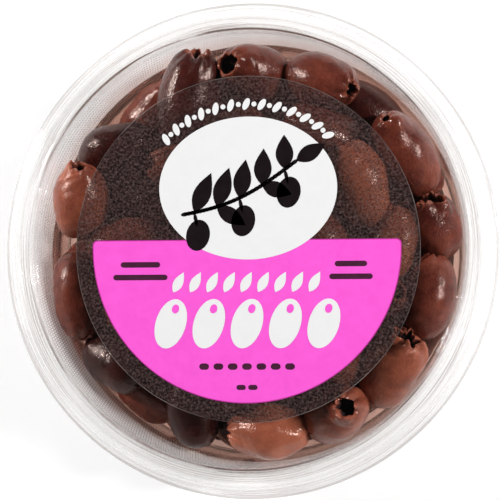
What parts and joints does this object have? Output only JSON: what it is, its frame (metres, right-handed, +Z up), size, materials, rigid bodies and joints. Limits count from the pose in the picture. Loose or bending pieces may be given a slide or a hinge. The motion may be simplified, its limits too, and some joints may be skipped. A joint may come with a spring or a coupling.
{
  "type": "pot of olives",
  "caption": "Shut round clear plastic pot of pitted dark olives in brine, with a recessed press-on lid and a round film label.",
  "frame": {"origin": "centre of the pot's foot ring, on the surface that it stands on", "axes": "+Z up through the lid; +X towards the right-hand side and +Y towards the top of the label as it is read from above"},
  "size_m": [0.118, 0.118, 0.038],
  "materials": {
    "clear_pot": "clear moulded plastic, glossy",
    "clear_lid": "clear moulded plastic, glossy, faintly milky at the rim",
    "label_film": "printed film, satin, part of it see-through with a dark tint",
    "olive_skin": "smooth wet olive skin, dark maroon to red-brown"
  },
  "bodies": {
    "root": {"pot": "clear_pot", "lid": "clear_lid", "label": "label_film", "olives": "olive_skin"}
  },
  "joints": []
}
